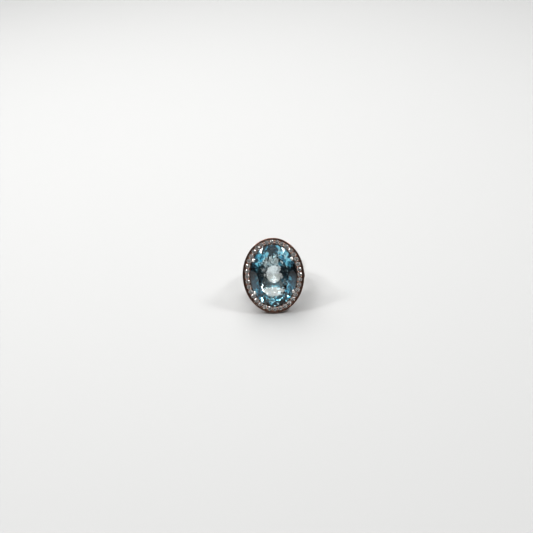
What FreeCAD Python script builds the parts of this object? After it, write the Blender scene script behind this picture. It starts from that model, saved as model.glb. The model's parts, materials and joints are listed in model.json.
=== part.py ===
"""Cocktail ring: a large oval stone in a halo of small round stones, held by four claws on an
open basket, with split shoulders and a tapered shank.

Every piece is drawn in the ring's own directions: X across the finger, Y along the finger and Z
out through the head, with the finger hole's centre at the origin. One common pose then lays the
ring on its side, leaning back on the head's lower edge and the back of the shank, with +Z up.
"""
import FreeCAD
import Part
import Sketcher

import math
import os

Vector = FreeCAD.Vector
Rotation = FreeCAD.Rotation
Placement = FreeCAD.Placement

# Driving dimensions in millimetres, counts, and slopes. Heights start at the finger hole's centre.
DIMENSIONS = {
    # shank
    "finger_radius": 8.65,
    "shank_edge_thickness": 1.1,
    "shank_dome_radius": 12.0,
    "shank_side_width": 5.5,
    "shank_taper": 0.1,
    "shank_edge_round": 0.25,
    "window_across": 3.8,
    "window_along": 5.0,
    # centre stone
    "stone_short": 15.0,
    "stone_long": 20.0,
    "stone_height": 15.8,
    "girdle_thickness": 0.35,
    "crown_height": 2.1,
    # halo tray
    "tray_bottom": 14.3,
    "tray_floor": 15.75,
    "rim_top": 16.05,
    "rim_margin": 2.4,
    "rim_margin_along": 2.1,
    "rim_width": 0.55,
    "rim_round": 0.08,
    "tray_undercut": 0.6,
    "seat_gap": 0.04,
    "seat_ledge": 0.35,
    # halo stones
    "halo_count": 36,
    "halo_diameter": 1.45,
    "halo_sink": 0.05,
    "halo_path_across": 8.45,
    "halo_path_along": 10.85,
    "azure_radius": 0.38,
    # grains between the halo stones
    "grain_radius": 0.24,
    "grain_stem_radius": 0.17,
    "grain_offset": 0.4,
    "grain_rise": 0.12,
    # basket
    "base_across": 5.3,
    "base_along": 6.8,
    "base_flare": 0.45,
    "base_wall": 1.0,
    "base_top": 12.3,
    "saddle_radius": 10.0,
    "post_radius": 0.45,
    "post_top_radius": 0.4,
    "post_spread": 0.1,
    # claws
    "claw_radius": 0.5,
    "claw_tip_radius": 0.62,
    "claw_tip_rise": 0.55,
    "claw_gap": 3,
    "claw_inset": 0.9,
    "claw_lean": 0.3,
    "claw_foot_sink": 0.8,
    "claw_bend_rise": 0.5,
    # split shoulders
    "arm_thickness": 1.3,
    "arm_width": 1.9,
}

# How far a halo stone narrows below its edge, in millimetres down for each millimetre inwards.
PAVILION_SLOPE = 0.86

# The centre stone's crown: distances from the axis are in stone radii.
TABLE_RADIUS = 0.66
CROWN_COUNT = 16
STAR_SHARE = 0.7        # steepness of the facets round the table against the crown's main facets
BREAK_SHARE = 1.12      # and of the small facets along the girdle
GIRDLE_COUNT = 32

# Rows of its pavilion from the girdle to the point: where a row starts in stone radii, how many
# facets it has, and how many millimetres it falls over a stone radius.
PAVILION_ROWS = ((1.0, 20, 8.4), (0.84, 20, 7.4), (0.7, 20, 6.9), (0.6, 16, 6.5),
                 (0.5, 16, 6.1), (0.4, 12, 5.7), (0.3, 12, 5.3), (0.2, 10, 4.9), (0.1, 8, 4.4))

# Places round the basket for its upright parts, and the ones that the claws take.
BASKET_PLACES = 12
CLAW_PLACES = (1, 5, 7, 11)

# Sections of a shoulder arm from the shank to the tray: how far out from the middle, how far from
# the shank's middle plane, the height, and the share of the full section.
ARM_SECTIONS = ((9.2, 1.5, 1.0, 1.0), (9.8, 2.0, 5.0, 1.0), (9.35, 2.8, 9.7, 0.9),
                (8.1, 3.6, 14.3, 0.85))


def make_sheet(doc):
    """The spreadsheet that holds the driving dimensions, one alias to a row."""
    sheet = doc.addObject("Spreadsheet::Sheet", "dims")
    for row, (alias, value) in enumerate(DIMENSIONS.items(), start=1):
        sheet.set(f"A{row}", alias)
        sheet.set(f"B{row}", str(value))
        sheet.setAlias(f"B{row}", alias)
    doc.recompute()
    return sheet


class Ring:
    """The document, its dimensions and the sub-parts made so far."""

    def __init__(self):
        self.doc = FreeCAD.newDocument("cocktail_ring")
        self.sheet = make_sheet(self.doc)
        self.nodes = []

    def size(self, alias):
        """The number in a cell of the sheet."""
        return float(self.sheet.get(alias))

    def add(self, kind, name, **bindings):
        """A document object with properties bound to expressions over the sheet."""
        obj = self.doc.addObject(kind, name)
        for prop, expression in bindings.items():
            obj.setExpression(prop, expression)
        return obj

    def keep(self, obj, label):
        """Marks an object as a sub-part and gives it the label that names its file."""
        obj.Label = label
        self.nodes.append(obj)
        return obj


def on_ellipse(across, along, angle):
    """The point of an ellipse at a parameter angle, X across and Y along the finger."""
    return Vector(across * math.cos(angle), along * math.sin(angle), 0)


def even_angles(across, along, count):
    """Parameter angles that divide an ellipse's length into equal steps, from its +X end."""
    steps = 20000
    points = [on_ellipse(across, along, 2 * math.pi * i / steps) for i in range(steps + 1)]
    lengths = [0.0]
    for here, there in zip(points, points[1:]):
        lengths.append(lengths[-1] + here.distanceToPoint(there))
    angles = []
    index = 0
    for k in range(count):
        target = lengths[-1] * k / count
        while lengths[index] < target:
            index += 1
        angles.append(2 * math.pi * index / steps)
    return angles


def outward(across, along, angle):
    """The unit normal of an ellipse at a parameter angle."""
    return Vector(along * math.cos(angle), across * math.sin(angle), 0).normalize()


# ---------------------------------------------------------------- faceted stones


def tier(count, phase, radius, height, slope):
    """Half-spaces of a ring of facets around a stone of unit radius.

    Each facet passes through the given radius and height and falls outward by slope for each
    unit of radius; a negative slope faces down. Phase is in facet steps.
    """
    facets = []
    for k in range(count):
        angle = 2 * math.pi * (k + phase) / count
        sign = 1.0 if slope > 0 else -1.0
        normal = Vector(sign * slope * math.cos(angle), sign * slope * math.sin(angle), sign)
        facets.append((normal, sign * (height + slope * radius)))
    return facets


def girdle(count):
    """Half-spaces of a stone's upright edge, with corners on the unit circle."""
    facets = []
    for k in range(count):
        angle = 2 * math.pi * (k + 0.5) / count
        facets.append((Vector(math.cos(angle), math.sin(angle), 0), math.cos(math.pi / count)))
    return facets


def clip(polygon, normal, limit):
    """The part of a flat polygon on the inner side of a plane."""
    kept = []
    for here, there in zip(polygon, polygon[1:] + polygon[:1]):
        a = normal.dot(here) - limit
        b = normal.dot(there) - limit
        if a <= 0:
            kept.append(here)
        if (a < 0 < b) or (b < 0 < a):
            kept.append(here + (there - here) * (a / (a - b)))
    return kept


def facet_polygon(index, facets):
    """The face that one half-space leaves on the solid where all of them meet."""
    normal, limit = facets[index]
    unit = Vector(normal).normalize()
    centre = unit * (limit / normal.Length)
    side = unit.cross(Vector(0, 0, 1) if abs(unit.z) < 0.9 else Vector(1, 0, 0)).normalize()
    other = unit.cross(side)
    reach = 50.0
    polygon = [centre + side * (reach * u) + other * (reach * v)
               for u, v in ((-1, -1), (1, -1), (1, 1), (-1, 1))]
    for other_index, (other_normal, other_limit) in enumerate(facets):
        if other_index != index and polygon:
            polygon = clip(polygon, other_normal, other_limit)
    return polygon


def tidy_polygon(polygon, across, along):
    """The polygon stretched to the stone's real radii, without repeated corners."""
    same = 1e-6
    corners = []
    for point in polygon:
        corner = Vector(point.x * across, point.y * along, point.z)
        if not corners or corner.distanceToPoint(corners[-1]) > same:
            corners.append(corner)
    if len(corners) > 1 and corners[0].distanceToPoint(corners[-1]) <= same:
        corners.pop()
    return corners


def faceted_solid(facets, across, along):
    """A solid with one flat face for each half-space, stretched to an ellipse."""
    faces = []
    for index in range(len(facets)):
        corners = tidy_polygon(facet_polygon(index, facets), across, along)
        if len(corners) > 2:
            faces.append(Part.Face(Part.makePolygon(corners + corners[:1])))
    shell = Part.Shell(faces)
    shell.sewShape()
    solid = Part.Solid(shell)
    if solid.Volume < 0:
        solid.reverse()
    return solid


def oval_stone_facets(crown, thickness):
    """Brilliant crown over a tiered pavilion whose rows of facets are set half a step apart."""
    slope = crown / (1 - TABLE_RADIUS)
    shoulder = TABLE_RADIUS * math.cos(math.pi / CROWN_COUNT)
    facets = [(Vector(0, 0, 1), thickness + crown)]
    facets += tier(CROWN_COUNT, 0.0, 1.0, thickness, slope)
    facets += tier(CROWN_COUNT, 0.5, shoulder, thickness + crown, STAR_SHARE * slope)
    facets += tier(2 * CROWN_COUNT, 0.5, 0.995, thickness, BREAK_SHARE * slope)
    facets += girdle(GIRDLE_COUNT)
    height = 0.0
    for number, (radius, count, fall) in enumerate(PAVILION_ROWS):
        facets += tier(count, 0.5 * (number % 2), radius, height, -fall)
        if number + 1 < len(PAVILION_ROWS):
            height -= fall * (radius - PAVILION_ROWS[number + 1][0])
    return facets


def round_stone_facets(radius):
    """A round brilliant: heights are in millimetres, distances from the axis in stone radii."""
    table_radius = 0.56
    crown = 0.31 * radius
    depth = PAVILION_SLOPE * radius
    thickness = 0.06 * radius
    crown_slope = crown / (1 - table_radius)
    facets = [(Vector(0, 0, 1), thickness + crown)]
    facets += tier(8, 0.0, 1.0, thickness, crown_slope)
    facets += tier(8, 0.5, table_radius * math.cos(math.pi / 8), thickness + crown,
                   0.62 * crown_slope)
    facets += tier(16, 0.5, 0.99, thickness, 1.2 * crown_slope)
    facets += girdle(16)
    facets += tier(8, 0.0, 1.0, 0.0, -depth)
    facets += tier(16, 0.5, 0.99, 0.0, -1.06 * depth)
    return facets


def centre_stone_shape(ring):
    """The oval stone with its girdle's lower edge at the stone height."""
    facets = oval_stone_facets(ring.size("crown_height"), ring.size("girdle_thickness"))
    solid = faceted_solid(facets, ring.size("stone_short") / 2, ring.size("stone_long") / 2)
    solid.translate(Vector(0, 0, ring.size("stone_height")))
    return solid


# ---------------------------------------------------------------- shank


def origin_plane(body, role):
    """One of a body's own origin planes."""
    return next(f for f in body.Origin.OriginFeatures if f.Role == role)


def add_sketch(body, name, role):
    """A sketch attached to one of its body's origin planes."""
    sketch = body.newObject("Sketcher::SketchObject", name)
    sketch.AttachmentSupport = [(origin_plane(body, role), "")]
    sketch.MapMode = "FlatFace"
    return sketch


def constrain(sketch, name, expression, *arguments):
    """A named dimension of a sketch, driven by the sheet."""
    index = sketch.addConstraint(Sketcher.Constraint(*arguments))
    sketch.renameConstraint(index, name)
    sketch.setExpression(f"Constraints.{name}", expression)


SHANK_REACH = 11.5  # a height just outside the shank, where its straight flanks are drawn to


def shank_half_width(ring):
    """Half the band's width where its flanks reach the top of their drawing."""
    return ring.size("shank_side_width") / 2 + ring.size("shank_taper") * SHANK_REACH


def shank_section(ring, body):
    """The D-shaped section of the band before it is tapered, above the finger axis."""
    sketch = add_sketch(body, "shank_section", "YZ_Plane")
    inner = ring.size("finger_radius")
    edge = inner + ring.size("shank_edge_thickness")
    half = shank_half_width(ring)
    dome = ring.size("shank_dome_radius")
    top = edge + dome - math.sqrt(dome ** 2 - half ** 2)
    corners = [Vector(-half, inner, 0), Vector(half, inner, 0),
               Vector(half, edge, 0), Vector(-half, edge, 0)]
    sketch.addGeometry([Part.LineSegment(corners[0], corners[1]),
                        Part.LineSegment(corners[1], corners[2]),
                        Part.Arc(corners[2], Vector(0, top, 0), corners[3]),
                        Part.LineSegment(corners[3], corners[0])])
    sketch.addConstraint([Sketcher.Constraint("Coincident", 0, 2, 1, 1),
                          Sketcher.Constraint("Coincident", 1, 2, 2, 1),
                          Sketcher.Constraint("Coincident", 2, 2, 3, 1),
                          Sketcher.Constraint("Coincident", 3, 2, 0, 1),
                          Sketcher.Constraint("Vertical", 1),
                          Sketcher.Constraint("Equal", 1, 3),
                          Sketcher.Constraint("Symmetric", 0, 1, 0, 2, -2)])
    constrain(sketch, "width", f"dims.shank_side_width + dims.shank_taper * {2 * SHANK_REACH}",
              "DistanceX", 0, 1, 0, 2, 2 * half)
    constrain(sketch, "bore", "dims.finger_radius", "DistanceY", -1, 1, 0, 1, inner)
    constrain(sketch, "edge", "dims.shank_edge_thickness", "DistanceY", 1, 1, 1, 2, edge - inner)
    constrain(sketch, "dome", "dims.shank_dome_radius", "Radius", 2, dome)
    return sketch


def shank_flanks(ring, body):
    """The waste on both sides of the band, which leans in towards the back, seen along X."""
    sketch = add_sketch(body, "shank_flanks", "YZ_Plane")
    outside = 2 * shank_half_width(ring)
    side = ring.size("shank_side_width") / 2
    flare = ring.size("shank_taper") * SHANK_REACH
    for sign in (1, -1):
        corners = [Vector(sign * (side - flare), -SHANK_REACH, 0),
                   Vector(sign * (side + flare), SHANK_REACH, 0),
                   Vector(sign * outside, SHANK_REACH, 0),
                   Vector(sign * outside, -SHANK_REACH, 0)]
        first = sketch.GeometryCount
        for here, there in zip(corners, corners[1:] + corners[:1]):
            sketch.addGeometry(Part.LineSegment(here, there))
        for k in range(4):
            sketch.addConstraint(Sketcher.Constraint("Coincident", first + k, 2,
                                                     first + (k + 1) % 4, 1))
    for k in range(4):
        sketch.addConstraint(Sketcher.Constraint("Symmetric", k, 1, 4 + k, 1, -2))
    sketch.addConstraint([Sketcher.Constraint("Horizontal", 1),
                          Sketcher.Constraint("Vertical", 2),
                          Sketcher.Constraint("Horizontal", 3),
                          Sketcher.Constraint("DistanceX", -1, 1, 2, 1, outside),
                          Sketcher.Constraint("DistanceY", -1, 1, 1, 1, SHANK_REACH),
                          Sketcher.Constraint("DistanceY", 0, 1, -1, 1, SHANK_REACH)])
    half = "dims.shank_side_width / 2"
    reach = f"dims.shank_taper * {SHANK_REACH}"
    constrain(sketch, "lower", f"{half} - {reach}", "DistanceX", -1, 1, 0, 1, side - flare)
    constrain(sketch, "upper", f"{half} + {reach}", "DistanceX", -1, 1, 1, 1, side + flare)
    return sketch


def make_shank(ring):
    """The band: a domed section turned about the finger axis, tapered and pierced at the top."""
    doc = ring.doc
    body = doc.addObject("PartDesign::Body", "shank")
    section = shank_section(ring, body)
    band = body.newObject("PartDesign::Revolution", "band")
    band.Profile = section
    band.ReferenceAxis = (section, ["H_Axis"])
    band.Angle = 360
    doc.recompute()

    flanks = body.newObject("PartDesign::Pocket", "flanks")
    flanks.Profile = shank_flanks(ring, body)
    flanks.SideType = "Symmetric"
    flanks.setExpression("Length", "dims.finger_radius * 4")
    doc.recompute()

    rounds = body.newObject("PartDesign::Fillet", "rounded_edges")
    rounds.Base = (flanks, [f"Edge{n + 1}" for n in range(len(flanks.Shape.Edges))])
    rounds.setExpression("Radius", "dims.shank_edge_round")
    doc.recompute()

    outline = add_sketch(body, "window_outline", "XY_Plane")
    outline.addGeometry(Part.Ellipse(Vector(0, ring.size("window_along") / 2, 0),
                                     Vector(ring.size("window_across") / 2, 0, 0),
                                     Vector(0, 0, 0)))
    window = body.newObject("PartDesign::Pocket", "window")
    window.Profile = outline
    window.Reversed = True
    window.setExpression("Length", "dims.finger_radius * 2")
    doc.recompute()
    return ring.keep(body, "shank")


# ---------------------------------------------------------------- ellipses, lofts and booleans


def ellipse(ring, name, across, along, height):
    """An elliptical outline, long way along the finger; radii and height are expressions."""
    outline = ring.add("Part::Ellipse", name, MajorRadius=along, MinorRadius=across)
    outline.Placement = Placement(Vector(0, 0, 0), Rotation(Vector(0, 0, 1), 90))
    outline.setExpression("Placement.Base.z", height)
    return outline


def loft(ring, name, sections, ruled=True):
    """A solid through closed outlines, straight between them when it is ruled."""
    solid = ring.add("Part::Loft", name)
    solid.Sections = sections
    solid.Solid = True
    solid.Ruled = ruled
    return solid


def stack(ring, name, levels):
    """A straight-sided solid through ellipses, each given as (across, along, height)."""
    sections = [ellipse(ring, f"{name}_{index}", *level) for index, level in enumerate(levels)]
    return loft(ring, name, sections)


def cut(ring, name, base, *tools):
    """The base with every tool taken away."""
    for index, tool in enumerate(tools):
        last = index == len(tools) - 1
        step = ring.doc.addObject("Part::Cut", name if last else f"{name}_less_{tool.Name}")
        step.Base = base
        step.Tool = tool
        base = step
    return base


def fuse(ring, name, *pieces):
    """Several solids joined into one."""
    joined = ring.doc.addObject("Part::MultiFuse", name)
    joined.Shapes = list(pieces)
    joined.Refine = True
    return joined


def form(ring, name, shape):
    """A fixed shape in the ring's own directions, used only to cut other pieces."""
    feature = ring.doc.addObject("Part::Feature", name)
    feature.Shape = shape
    return feature


def circle(ring, name, radius, centre):
    """A level circle; the radius is an expression."""
    outline = ring.add("Part::Circle", name, Radius=radius)
    outline.Placement = Placement(centre, Rotation())
    return outline


def rod(ring, name, radius, start, end):
    """A round bar between two points; the radius is an expression."""
    bar = ring.add("Part::Cylinder", name, Radius=radius)
    bar.Height = start.distanceToPoint(end)
    bar.Placement = Placement(start, Rotation(Vector(0, 0, 1), end - start))
    return bar


def ball(ring, name, radius, centre):
    """A sphere; the radius is an expression."""
    sphere = ring.add("Part::Sphere", name, Radius=radius)
    sphere.Placement = Placement(centre, Rotation())
    return sphere


# ---------------------------------------------------------------- places around the halo


def halo_angles(ring, shift):
    """Parameter angles of the halo stones, or of the gaps after them when shift is 0.5."""
    count = int(ring.size("halo_count"))
    fine = even_angles(ring.size("halo_path_across"), ring.size("halo_path_along"), 2 * count)
    return fine[int(2 * shift)::2]


def halo_point(ring, angle, inset, height):
    """A point on the halo's centre line, moved inwards by inset."""
    across = ring.size("halo_path_across")
    along = ring.size("halo_path_along")
    point = on_ellipse(across, along, angle) - outward(across, along, angle) * inset
    return point + Vector(0, 0, height)


def claw_angles(ring):
    """The four gaps between halo stones that hold a claw, one in each quarter."""
    count = int(ring.size("halo_count"))
    gaps = halo_angles(ring, 0.5)
    gap = int(ring.size("claw_gap"))
    return [gaps[k] for k in (gap, count // 2 - 1 - gap, count // 2 + gap, count - 1 - gap)]


# ---------------------------------------------------------------- head


def make_tray(ring, claw_blanks):
    """The halo's metal: an undercut oval plate with a raised rim, a centre hole and seats."""
    across = "dims.stone_short / 2"
    along = "dims.stone_long / 2"
    rim = (f"{across} + dims.rim_margin", f"{along} + dims.rim_margin_along")
    under = tuple(f"{radius} - dims.tray_undercut" for radius in rim)
    inside = tuple(f"{radius} - dims.rim_width" for radius in rim)
    ledge = tuple(f"{radius} - dims.seat_ledge" for radius in (across, along))
    mouth = tuple(f"{radius} + dims.seat_gap" for radius in (across, along))

    plate = stack(ring, "tray_plate", [(*under, "dims.tray_bottom"),
                                       (*rim, "dims.tray_bottom + dims.tray_undercut"),
                                       (*rim, "dims.rim_top")])
    channel = stack(ring, "tray_channel", [(*inside, "dims.tray_floor"),
                                           (*inside, "dims.rim_top + 1")])
    hole = stack(ring, "tray_hole", [(*ledge, "dims.tray_bottom - 1"),
                                     (*ledge, "dims.stone_height - dims.seat_ledge"),
                                     (*mouth, "dims.stone_height"),
                                     (*mouth, "dims.rim_top + 1")])
    blank = cut(ring, "tray_blank", plate, channel, hole)
    ring.doc.recompute()

    rounded = ring.doc.addObject("Part::Fillet", "tray_rounded")
    rounded.Base = blank
    radius = ring.size("rim_round")
    rounded.Edges = [(number, radius, radius)
                     for number, edge in enumerate(blank.Shape.Edges, start=1)
                     if edge.BoundBox.ZMin > ring.size("rim_top") - 0.01]
    seats = form(ring, "halo_seats", seat_cutters(ring))
    return ring.keep(cut(ring, "halo_tray", rounded, seats, *claw_blanks), "halo_tray")


def seat_cutters(ring):
    """What is drilled out under each halo stone: its seat, and a small hole to the back."""
    wide = ring.size("halo_diameter") / 2 + ring.size("seat_gap") / 2
    narrow = ring.size("azure_radius")
    level = ring.size("tray_floor") - ring.size("halo_sink")
    corner = level - PAVILION_SLOPE * (wide - narrow)
    profile = Part.makePolygon([Vector(0, 0, ring.size("tray_bottom") - 1),
                                Vector(narrow, 0, ring.size("tray_bottom") - 1),
                                Vector(narrow, 0, corner),
                                Vector(wide, 0, level),
                                Vector(wide, 0, ring.size("rim_top")),
                                Vector(0, 0, ring.size("rim_top")),
                                Vector(0, 0, ring.size("tray_bottom") - 1)])
    drill = Part.Face(profile).revolve(Vector(0, 0, 0), Vector(0, 0, 1), 360)
    cutters = []
    for angle in halo_angles(ring, 0):
        cutters.append(drill.translated(halo_point(ring, angle, 0, 0)))
    return Part.makeCompound(cutters)


def make_halo_stones(ring):
    """The row of small round stones, each turned to face the same way along the row."""
    radius = ring.size("halo_diameter") / 2
    shape = faceted_solid(round_stone_facets(radius), radius, radius)
    level = ring.size("tray_floor") - ring.size("halo_sink")
    for number, angle in enumerate(halo_angles(ring, 0), start=1):
        stone = ring.doc.addObject("Part::Feature", f"halo_stone_{number:02d}")
        stone.Shape = shape
        direction = outward(ring.size("halo_path_across"), ring.size("halo_path_along"), angle)
        stone.Placement = Placement(halo_point(ring, angle, 0, level),
                                    Rotation(Vector(1, 0, 0), direction))
        ring.keep(stone, stone.Name)


def make_grains(ring):
    """The beads on short stems that grip the halo stones, two to a gap but one beside a claw."""
    floor = ring.size("tray_floor")
    rise = ring.size("grain_rise")
    bead = Part.makeSphere(ring.size("grain_radius"), Vector(0, 0, floor + rise))
    stem = Part.makeCylinder(ring.size("grain_stem_radius"), rise, Vector(0, 0, floor))
    above = Part.makeBox(2, 2, 2, Vector(-1, -1, floor))
    grain = bead.common(above).fuse(stem).removeSplitter()
    offset = ring.size("grain_offset")
    claws = claw_angles(ring)
    grains = []
    for angle in halo_angles(ring, 0.5):
        for inset in ((-offset,) if angle in claws else (-offset, offset)):
            grains.append(grain.translated(halo_point(ring, angle, inset, 0)))
    feature = form(ring, "halo_grains", Part.makeCompound(grains))
    return ring.keep(feature, "halo_grains")


def claw_blank(ring, number, angle):
    """A bent round bar with a ball tip, from the base ring up and over the stone's edge."""
    base_across = ring.size("base_across") + ring.size("base_flare") - ring.size("base_wall") / 2
    base_along = ring.size("base_along") + ring.size("base_flare") - ring.size("base_wall") / 2
    girdle_top = ring.size("stone_height") + ring.size("girdle_thickness")
    foot_height = ring.size("base_top") - ring.size("claw_foot_sink")
    foot = on_ellipse(base_across, base_along, angle) + Vector(0, 0, foot_height)
    bend = halo_point(ring, angle, ring.size("claw_inset"),
                      ring.size("tray_bottom") + ring.size("claw_bend_rise"))
    tip = halo_point(ring, angle, ring.size("claw_inset") + ring.size("claw_lean"),
                     girdle_top + ring.size("claw_tip_rise"))
    name = f"claw_{number}"
    return fuse(ring, f"{name}_blank",
                rod(ring, f"{name}_foot", "dims.claw_radius", foot, bend),
                ball(ring, f"{name}_bend", "dims.claw_radius", bend),
                rod(ring, f"{name}_neck", "dims.claw_radius", bend, tip),
                ball(ring, f"{name}_tip", "dims.claw_tip_radius", tip))


def make_base(ring, shank_form):
    """The oval ring that stands on the shank, its underside hollowed to the shank's curve."""
    across = "dims.base_across"
    along = "dims.base_along"
    low = "dims.finger_radius - 2"
    wall = stack(ring, "base_outside", [(across, along, low),
                                        (f"{across} + dims.base_flare",
                                         f"{along} + dims.base_flare", "dims.base_top")])
    hollow = stack(ring, "base_inside", [(f"{across} - dims.base_wall",
                                          f"{along} - dims.base_wall", low),
                                         (f"{across} + dims.base_flare - dims.base_wall",
                                          f"{along} + dims.base_flare - dims.base_wall",
                                          "dims.base_top")])
    saddle = ring.add("Part::Cylinder", "base_saddle", Radius="dims.saddle_radius",
                      Height="dims.base_along * 4")
    saddle.Placement = Placement(Vector(0, 2 * ring.size("base_along"), 0),
                                 Rotation(Vector(1, 0, 0), 90))
    return ring.keep(cut(ring, "gallery_base", wall, hollow, saddle, shank_form), "gallery_base")


def make_posts(ring):
    """Leaning posts between the base ring and the tray, on every place that has no claw."""
    inner = ring.size("base_flare") - ring.size("base_wall") / 2
    low = (ring.size("base_across") + inner, ring.size("base_along") + inner)
    spread = ring.size("post_spread")
    high = (ring.size("stone_short") / 2 + spread, ring.size("stone_long") / 2 + spread)
    for index, angle in enumerate(even_angles(*high, BASKET_PLACES)):
        if index in CLAW_PLACES:
            continue
        number = sum(1 for node in ring.nodes if node.Name.startswith("gallery_post")) + 1
        name = f"gallery_post_{number}"
        foot = on_ellipse(*low, angle) + Vector(0, 0, ring.size("base_top"))
        head = on_ellipse(*high, angle) + Vector(0, 0, ring.size("tray_bottom"))
        post = loft(ring, name, [circle(ring, f"{name}_foot", "dims.post_radius", foot),
                                 circle(ring, f"{name}_head", "dims.post_top_radius", head)])
        ring.keep(post, name)


def make_arms(ring, shank_form):
    """Two arms on each side, which leave the shank together and spread apart to the tray."""
    for side, left_right in ((-1, "left"), (1, "right")):
        for way, upper_lower in ((-1, "lower"), (1, "upper")):
            name = f"shoulder_{upper_lower}_{left_right}"
            sections = []
            for index, (out, apart, height, narrowing) in enumerate(ARM_SECTIONS):
                section = ring.add("Part::Ellipse", f"{name}_{index}",
                                   MajorRadius=f"dims.arm_width / 2 * {narrowing}",
                                   MinorRadius=f"dims.arm_thickness / 2 * {narrowing}")
                section.Placement = Placement(Vector(side * out, way * apart, height),
                                              Rotation(Vector(0, 0, 1), 90))
                sections.append(section)
            arm = loft(ring, f"{name}_blank", sections, ruled=False)
            ring.keep(cut(ring, name, arm, shank_form), name)


# ---------------------------------------------------------------- resting pose


def lean_rotation(lean):
    """Turns the head from +Z to face -Y, leaning back by an angle in degrees."""
    return Placement(Vector(0, 0, 0), Rotation(Vector(1, 0, 0), 90 - lean))


def box_at(shape, placement):
    """The tight bounding box of a shape moved by a placement."""
    moved = shape.copy()
    moved.Placement = placement.multiply(moved.Placement)
    return moved.optimalBoundingBox(False, False)


def resting_lean(head, shank):
    """The lean at which the head's edge and the shank's back reach equally low, in degrees."""
    upright, flat = 5.0, 60.0
    for _ in range(24):
        lean = (upright + flat) / 2
        rotation = lean_rotation(lean)
        if box_at(head, rotation).ZMin < box_at(shank, rotation).ZMin:
            upright = lean
        else:
            flat = lean
    return (upright + flat) / 2


def resting_pose(ring, head, shank, stone):
    """Lays the ring down with its box's bottom centre at the origin."""
    lean = resting_lean(head, shank)
    box = FreeCAD.BoundBox()
    for shape in (head, shank, stone):
        box.add(box_at(shape, lean_rotation(lean)))
    print(f"leans back {lean:.3f} degrees; box {box.XLength:.2f} {box.YLength:.2f} {box.ZLength:.2f}")
    pose = lean_rotation(lean)
    pose.Base = Vector(0, -box.Center.y, -box.ZMin)
    print("finger hole's centre", pose.Base, "axis", pose.Rotation.multVec(Vector(0, 1, 0)))
    return pose


def check(ring):
    """Stops if any object failed or any sub-part's shape is null or not valid."""
    for obj in ring.doc.Objects:
        if "Invalid" in obj.State or "Error" in obj.State:
            raise RuntimeError(f"{obj.Name} failed: {obj.State}")
    for node in ring.nodes:
        if node.Shape.isNull() or not node.Shape.isValid() or not node.Shape.Solids:
            raise RuntimeError(f"{node.Label} has no valid solid")


def main():
    ring = Ring()
    doc = ring.doc
    shank = make_shank(ring)
    shank_form = form(ring, "shank_form", shank.Shape)
    make_arms(ring, shank_form)
    base = make_base(ring, shank_form)
    make_posts(ring)
    doc.recompute()

    blanks = [claw_blank(ring, number, angle)
              for number, angle in enumerate(claw_angles(ring), start=1)]
    doc.recompute()
    tray = make_tray(ring, blanks)
    stone_form = form(ring, "stone_form", centre_stone_shape(ring))
    base_form = form(ring, "base_form", base.Shape)
    names = ("claw_upper_right", "claw_upper_left", "claw_lower_left", "claw_lower_right")
    for name, blank in zip(names, blanks):
        ring.keep(cut(ring, name, blank, stone_form, base_form), name)
    stone = ring.keep(form(ring, "centre_stone", centre_stone_shape(ring)), "centre_stone")
    make_halo_stones(ring)
    make_grains(ring)
    doc.recompute()

    pose = resting_pose(ring, tray.Shape, shank.Shape, stone.Shape)
    for node in ring.nodes:
        node.Placement = pose.multiply(node.Placement)
    doc.recompute()
    check(ring)
    os.makedirs("parts", exist_ok=True)
    for node in ring.nodes:
        node.Shape.exportStep(f"parts/{node.Label}.step")
    print(len(ring.nodes), "sub-parts")


main()
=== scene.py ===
"""Looks for the cocktail ring: metals, stones, a pale floor, soft studio light and the camera."""

import json
import math

import bpy
from mathutils import Matrix, Vector


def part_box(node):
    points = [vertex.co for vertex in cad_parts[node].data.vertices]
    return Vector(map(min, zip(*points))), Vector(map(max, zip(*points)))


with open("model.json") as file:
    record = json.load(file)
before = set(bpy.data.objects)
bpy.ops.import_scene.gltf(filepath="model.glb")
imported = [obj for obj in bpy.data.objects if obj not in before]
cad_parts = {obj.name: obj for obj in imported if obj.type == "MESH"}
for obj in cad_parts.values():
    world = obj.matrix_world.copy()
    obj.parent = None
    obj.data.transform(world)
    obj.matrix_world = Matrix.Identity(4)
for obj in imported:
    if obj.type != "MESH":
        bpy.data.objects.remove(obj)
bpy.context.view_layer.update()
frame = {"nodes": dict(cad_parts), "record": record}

# ---------------------------------------------------------------- node helpers


def new_material(name):
    """An empty node material and its tree."""
    material = bpy.data.materials.new(name)
    material.use_nodes = True
    tree = material.node_tree
    tree.nodes.clear()
    return material, tree


def node(tree, kind, **values):
    """A node with attributes set by their lower-case names."""
    made = tree.nodes.new(kind)
    for key, value in values.items():
        setattr(made, key, value)
    return made


def noise(tree, scale, detail=4.0, roughness=0.6):
    """A noise texture over object coordinates."""
    coordinates = node(tree, "ShaderNodeTexCoord")
    texture = node(tree, "ShaderNodeTexNoise")
    texture.inputs["Scale"].default_value = scale
    texture.inputs["Detail"].default_value = detail
    texture.inputs["Roughness"].default_value = roughness
    tree.links.new(coordinates.outputs["Object"], texture.inputs["Vector"])
    return texture


def spread(tree, source, low, high, start=0.35, end=0.65):
    """Maps a texture's middle range to the range from low to high."""
    mapped = node(tree, "ShaderNodeMapRange")
    mapped.inputs["From Min"].default_value = start
    mapped.inputs["From Max"].default_value = end
    mapped.inputs["To Min"].default_value = low
    mapped.inputs["To Max"].default_value = high
    tree.links.new(source, mapped.inputs["Value"])
    return mapped.outputs["Result"]


# ---------------------------------------------------------------- materials

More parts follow.
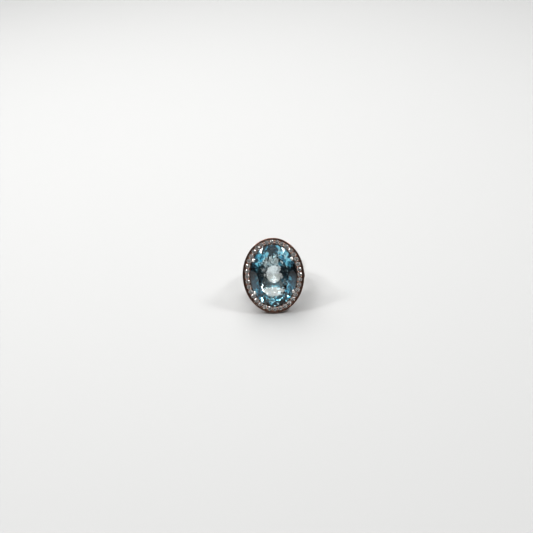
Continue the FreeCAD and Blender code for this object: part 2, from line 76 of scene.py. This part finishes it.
BORE = frame["record"]["mounts"][0]
HOLE_CENTRE = Vector(BORE["pos_m"])
HOLE_AXIS = Vector(BORE["axis"])
HEAD_WAY = Vector((1, 0, 0)).cross(HOLE_AXIS)    # out through the middle of the big stone
SATIN_DEPTH = 0.00012                # the satin lining reaches this far past the bore, in metres
CROWN_START = 0.01613                # heights of the big stone's girdle and table over the
CROWN_END = 0.01824                  # finger hole's axis, in metres
CROWN_BLEND = 0.00006                # how gradually the crown's colour starts and ends, in metres


def from_hole(tree):
    """Object coordinates measured from the middle of the finger hole."""
    coordinates = node(tree, "ShaderNodeTexCoord")
    offset = node(tree, "ShaderNodeVectorMath", operation="SUBTRACT")
    offset.inputs[1].default_value = HOLE_CENTRE
    tree.links.new(coordinates.outputs["Object"], offset.inputs[0])
    return offset.outputs["Vector"]


def lining_mask(tree):
    """1 on the wall of the finger hole, 0 elsewhere."""
    cross = node(tree, "ShaderNodeVectorMath", operation="CROSS_PRODUCT")
    cross.inputs[1].default_value = HOLE_AXIS
    tree.links.new(from_hole(tree), cross.inputs[0])
    distance = node(tree, "ShaderNodeVectorMath", operation="LENGTH")
    tree.links.new(cross.outputs["Vector"], distance.inputs[0])
    wall = BORE["dims"]["r_mm"] / 1000
    return spread(tree, distance.outputs["Value"], 1.0, 0.0,
                  wall + SATIN_DEPTH / 2, wall + SATIN_DEPTH)


def mix_colour(tree, share, first, second):
    """A blend of two colours, each a socket or a plain colour."""
    mixed = node(tree, "ShaderNodeMix", data_type="RGBA")
    tree.links.new(share, mixed.inputs["Factor"])
    for name, value in (("A", first), ("B", second)):
        if isinstance(value, tuple):
            mixed.inputs[name].default_value = (*value, 1)
        else:
            tree.links.new(value, mixed.inputs[name])
    return mixed.outputs["Result"]


def mix_value(tree, share, first, second):
    """A blend of two numbers, each a socket or a plain number."""
    mixed = node(tree, "ShaderNodeMix", data_type="FLOAT")
    tree.links.new(share, mixed.inputs["Factor"])
    for name, value in (("A", first), ("B", second)):
        if isinstance(value, float):
            mixed.inputs[name].default_value = value
        else:
            tree.links.new(value, mixed.inputs[name])
    return mixed.outputs["Result"]


def colour_ramp(tree, source, stops):
    """A colour for each value of the source, through stops of (position, colour)."""
    ramp = node(tree, "ShaderNodeValToRGB")
    while len(ramp.color_ramp.elements) < len(stops):
        ramp.color_ramp.elements.new(0.5)
    for element, (position, colour) in zip(ramp.color_ramp.elements, stops):
        element.position = position
        element.color = (*colour, 1)
    tree.links.new(source, ramp.inputs["Fac"])
    return ramp.outputs["Color"]


def scratches(tree, way, density):
    """Fine hairlines: noise drawn out along one direction."""
    coordinates = node(tree, "ShaderNodeTexCoord")
    mapping = node(tree, "ShaderNodeMapping")
    mapping.inputs["Rotation"].default_value = way
    mapping.inputs["Scale"].default_value = (density, density * 0.02, density)
    tree.links.new(coordinates.outputs["Object"], mapping.inputs["Vector"])
    texture = node(tree, "ShaderNodeTexNoise")
    texture.inputs["Scale"].default_value = 1.0
    texture.inputs["Detail"].default_value = 5.0
    texture.inputs["Distortion"].default_value = 0.3
    tree.links.new(mapping.outputs["Vector"], texture.inputs["Vector"])
    return spread(tree, texture.outputs["Fac"], 0.0, 1.0, 0.60, 0.72)


STAINED_ROUGHNESS = 0.30
HAIRLINE_ROUGHNESS = 0.34
SATIN_ROUGHNESS = 0.42
DENT_DEPTH = 0.00002                 # metres
HAIRLINE_DEPTH = 0.000004


def polished_metal(name, clean, dull, polish, tarnish, lined=False):
    """Polished metal with tarnish clouds, hairlines, uneven polish and soft handling dents."""
    material, tree = new_material(name)
    shader = node(tree, "ShaderNodeBsdfPrincipled")
    shader.inputs["Metallic"].default_value = 1.0
    clouds = noise(tree, 420.0, 6.0, 0.62)
    stain = spread(tree, clouds.outputs["Fac"], 0.0, tarnish, 0.42, 0.72)
    tree.links.new(mix_colour(tree, stain, clean, dull), shader.inputs["Base Color"])
    fine = noise(tree, 2600.0, 6.0, 0.7)
    rough = spread(tree, fine.outputs["Fac"], *polish)
    rough = mix_value(tree, stain, rough, STAINED_ROUGHNESS)
    hairs = scratches(tree, (0.4, 0.2, 0.7), 9000.0)
    rough = mix_value(tree, hairs, rough, HAIRLINE_ROUGHNESS)
    if lined:
        rough = mix_value(tree, lining_mask(tree), rough, SATIN_ROUGHNESS)
    tree.links.new(rough, shader.inputs["Roughness"])
    dents = node(tree, "ShaderNodeBump")
    dents.inputs["Strength"].default_value = 0.25
    dents.inputs["Distance"].default_value = DENT_DEPTH
    tree.links.new(noise(tree, 500.0, 2.0, 0.5).outputs["Fac"], dents.inputs["Height"])
    grain = node(tree, "ShaderNodeBump")
    grain.inputs["Strength"].default_value = 0.12
    grain.inputs["Distance"].default_value = HAIRLINE_DEPTH
    tree.links.new(hairs, grain.inputs["Height"])
    tree.links.new(dents.outputs["Normal"], grain.inputs["Normal"])
    tree.links.new(grain.outputs["Normal"], shader.inputs["Normal"])
    output = node(tree, "ShaderNodeOutputMaterial")
    tree.links.new(shader.outputs["BSDF"], output.inputs["Surface"])
    return material


def crown_mask(tree):
    """1 on the big stone's crown facets, 0 on its table, girdle and pavilion."""
    height = node(tree, "ShaderNodeVectorMath", operation="DOT_PRODUCT")
    height.inputs[1].default_value = HEAD_WAY
    tree.links.new(from_hole(tree), height.inputs[0])
    middle = (CROWN_START + CROWN_END) / 2
    apart = node(tree, "ShaderNodeMath", operation="SUBTRACT")
    apart.inputs[1].default_value = middle
    tree.links.new(height.outputs["Value"], apart.inputs[0])
    size = node(tree, "ShaderNodeMath", operation="ABSOLUTE")
    tree.links.new(apart.outputs["Value"], size.inputs[0])
    edge = (CROWN_END - CROWN_START) / 2
    return spread(tree, size.outputs["Value"], 1.0, 0.0, edge - CROWN_BLEND, edge)


# Painted colours that stand for the light the big stone's crown gathers, from the darkest patch
# to the lightest. Refraction alone, in a stone of one even colour, is paler than this.
CROWN_COLOURS = ((0.0, (0.002, 0.01, 0.02)), (0.30, (0.01, 0.11, 0.20)),
                 (0.46, (0.06, 0.50, 0.78)), (0.80, (0.18, 0.74, 0.96)),
                 (0.93, (0.85, 0.96, 0.99)))
CROWN_CELLS = 900.0                  # patches to a metre, about one to a small facet
SHADED_SIDES = (0.0040, 0.0060)        # across the finger, where the crown's painted shade starts and where it is full
MIDDLE_PAINTED_LIGHT = 0.12                   # painted light: how far the colours shift to the light end in the middle
SIDE_PAINTED_SHADE = -0.70                    # painted shade: how far they shift to the dark end past the side limits above


def crown_painted_light(tree):
    """Painted light and shade on the crown: small patches of light and dark blue standing for
    facet glints, with painted shade towards the left and right of the stone.
    """
    coordinates = node(tree, "ShaderNodeTexCoord")
    cells = node(tree, "ShaderNodeTexVoronoi")
    cells.inputs["Scale"].default_value = CROWN_CELLS
    tree.links.new(coordinates.outputs["Object"], cells.inputs["Vector"])
    chance = node(tree, "ShaderNodeSeparateXYZ")
    tree.links.new(cells.outputs["Color"], chance.inputs["Vector"])
    place = node(tree, "ShaderNodeSeparateXYZ")
    tree.links.new(coordinates.outputs["Object"], place.inputs["Vector"])
    aside = node(tree, "ShaderNodeMath", operation="ABSOLUTE")
    tree.links.new(place.outputs["X"], aside.inputs[0])
    shade = spread(tree, aside.outputs["Value"], MIDDLE_PAINTED_LIGHT, SIDE_PAINTED_SHADE, *SHADED_SIDES)
    level = node(tree, "ShaderNodeMath", operation="ADD")
    tree.links.new(chance.outputs["X"], level.inputs[0])
    tree.links.new(shade, level.inputs[1])
    return colour_ramp(tree, level.outputs["Value"], CROWN_COLOURS)


def gem(name, index, pale, absorbed, density, with_painted_crown=False):
    """Clear stone: sharp refraction, colour that deepens with the light's path through it.

    A stone with its crown painted shows painted light and shade on its crown facets: patches of
    light and dark blue in place of its even colour."""
    material, tree = new_material(name)
    shader = node(tree, "ShaderNodeBsdfPrincipled")
    shader.inputs["Transmission Weight"].default_value = 1.0
    shader.inputs["IOR"].default_value = index
    smear = spread(tree, noise(tree, 700.0, 4.0, 0.6).outputs["Fac"], 0.0, 1.0, 0.45, 0.75)
    washed = tuple(channel * 0.96 for channel in pale)
    colour = mix_colour(tree, smear, pale, washed)
    if with_painted_crown:
        # painted light and shade on the crown facets
        colour = mix_colour(tree, crown_mask(tree), colour, crown_painted_light(tree))
    tree.links.new(colour, shader.inputs["Base Color"])
    tree.links.new(mix_value(tree, smear, 0.0, 0.015), shader.inputs["Roughness"])
    volume = node(tree, "ShaderNodeVolumeAbsorption")
    volume.inputs["Color"].default_value = (*absorbed, 1)
    volume.inputs["Density"].default_value = density
    output = node(tree, "ShaderNodeOutputMaterial")
    tree.links.new(shader.outputs["BSDF"], output.inputs["Surface"])
    tree.links.new(volume.outputs["Volume"], output.inputs["Volume"])
    return material


def paint_nodes():
    """Gives every CAD node its slot's material."""
    slots = {
        "silver": polished_metal("silver", (0.93, 0.92, 0.90), (0.62, 0.58, 0.52),
                                 (0.05, 0.14), 0.35, lined=True),
        "silver_head": polished_metal("silver_head", (0.91, 0.90, 0.88), (0.55, 0.51, 0.46),
                                      (0.05, 0.16), 0.45),
        "rose_gold": polished_metal("rose_gold", (0.48, 0.27, 0.20), (0.12, 0.06, 0.045),
                                    (0.06, 0.16), 0.85),
        # the big stone's crown gets painted light and shade
        "blue_stone": gem("blue_stone", 1.62, (0.97, 0.985, 0.99), (0.1, 0.72, 0.85), 20.0,
                          with_painted_crown=True),
        "clear_stone": gem("clear_stone", 2.1, (0.99, 0.98, 0.96), (0.85, 0.75, 0.65), 60.0),
    }
    for part in frame["record"]["subparts"]:
        mesh = frame["nodes"][part["node"]].data
        mesh.materials.clear()
        mesh.materials.append(slots[part["material_slot"]])


# ---------------------------------------------------------------- stage, light and camera

CAMERA_SIDE = math.radians(3.0)      # how far the camera stands to the right of the stone's face
CAMERA_RISE = math.radians(28.7)     # how far it looks down on the ring
CAMERA_DISTANCE = 0.321
CAMERA_ROLL = math.radians(4.0)
LENS = 67.5
AIM_LEFT = 0.00224                   # the stone sits a little right of and below the middle
AIM_UP = 0.00277


def camera_direction():
    """From the ring towards the camera."""
    level = math.cos(CAMERA_RISE)
    return Vector((math.sin(CAMERA_SIDE) * level, -math.cos(CAMERA_SIDE) * level,
                   math.sin(CAMERA_RISE)))


def add_camera():
    """A camera that looks down on the stone's face."""
    low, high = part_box("halo_tray")
    subject = (low + high) / 2
    back = camera_direction()
    right = Vector((0, 0, 1)).cross(back).normalized()
    up = back.cross(right)
    turn = Matrix.Rotation(-CAMERA_ROLL, 3, back)
    right = turn @ right
    up = turn @ up
    data = bpy.data.cameras.new("camera")
    data.lens = LENS
    data.clip_start = 0.005
    camera = bpy.data.objects.new("camera", data)
    place = subject - right * AIM_LEFT + up * AIM_UP + back * CAMERA_DISTANCE
    rotation = Matrix((right, up, back)).transposed()
    camera.matrix_world = Matrix.Translation(place) @ rotation.to_4x4()
    bpy.context.scene.collection.objects.link(camera)
    bpy.context.scene.camera = camera


FLOOR_REACH = 0.9                    # fills the main picture; its edge shows in low views
FLOOR_COLOUR = (0.41, 0.41, 0.406)


def add_floor():
    """A plain pale floor."""
    reach = FLOOR_REACH
    mesh = bpy.data.meshes.new("floor")
    mesh.from_pydata([(-reach, -reach, 0), (reach, -reach, 0), (reach, reach, 0),
                      (-reach, reach, 0)], [], [(0, 1, 2, 3)])
    floor = bpy.data.objects.new("floor", mesh)
    bpy.context.scene.collection.objects.link(floor)
    material, tree = new_material("floor_matt")
    shader = node(tree, "ShaderNodeBsdfPrincipled")
    shader.inputs["Base Color"].default_value = (*FLOOR_COLOUR, 1)
    shader.inputs["Roughness"].default_value = 0.6
    shader.inputs["Specular IOR Level"].default_value = 0.2
    output = node(tree, "ShaderNodeOutputMaterial")
    tree.links.new(shader.outputs["BSDF"], output.inputs["Surface"])
    mesh.materials.append(material)


# Brightness of the studio against the height of the direction looked in: a soft box overhead,
# dim walls, and a little light from below the horizon.
STUDIO = ((-1.0, 0.2), (0.0, 0.06), (0.4, 0.06), (0.55, 0.25), (0.75, 0.8), (1.0, 0.8))
SKY_SEEN = 0.80                      # the backdrop's brightness as the camera sees it


def add_world():
    """A studio lit from overhead, with a plain pale backdrop."""
    world = bpy.data.worlds.new("studio")
    world.use_nodes = True
    tree = world.node_tree
    tree.nodes.clear()
    coordinates = node(tree, "ShaderNodeTexCoord")
    place = node(tree, "ShaderNodeSeparateXYZ")
    tree.links.new(coordinates.outputs["Generated"], place.inputs["Vector"])
    share = node(tree, "ShaderNodeMapRange")
    share.inputs["From Min"].default_value = -1.0
    tree.links.new(place.outputs["Z"], share.inputs["Value"])
    stops = [((height + 1) / 2, (level, level, level)) for height, level in STUDIO]
    lit = colour_ramp(tree, share.outputs["Result"], stops)
    path = node(tree, "ShaderNodeLightPath")
    seen = mix_colour(tree, path.outputs["Is Camera Ray"], lit, (SKY_SEEN, SKY_SEEN, SKY_SEEN))
    background = node(tree, "ShaderNodeBackground")
    tree.links.new(seen, background.inputs["Color"])
    output = node(tree, "ShaderNodeOutputWorld")
    tree.links.new(background.outputs["Background"], output.inputs["Surface"])
    bpy.context.scene.world = world


def add_light(name, place, size, power):
    """A soft square lamp that faces the ring."""
    data = bpy.data.lights.new(name, "AREA")
    data.size = size
    data.energy = power
    lamp = bpy.data.objects.new(name, data)
    turn = Vector(place).to_track_quat("Z", "Y").to_matrix().to_4x4()
    lamp.matrix_world = Matrix.Translation(place) @ turn
    bpy.context.scene.collection.objects.link(lamp)


# Each lamp's place, width and power, in metres and watts.
WINDOW_LAMP = ((-0.1, 0.3, 0.5), 0.5, 4.5)
SIDE_LAMPS = (((-0.4, -0.05, 0.5), 0.16, 1.8), ((0.4, -0.05, 0.5), 0.16, 1.8))


def add_lights():
    """A wide lamp above and behind, which the stones pass on, and a small one at each side."""
    add_light("window", *WINDOW_LAMP)
    for lamp in SIDE_LAMPS:
        add_light("sparkle", *lamp)


paint_nodes()
add_floor()
add_world()
add_lights()
add_camera()
bpy.context.scene.view_settings.view_transform = "Standard"
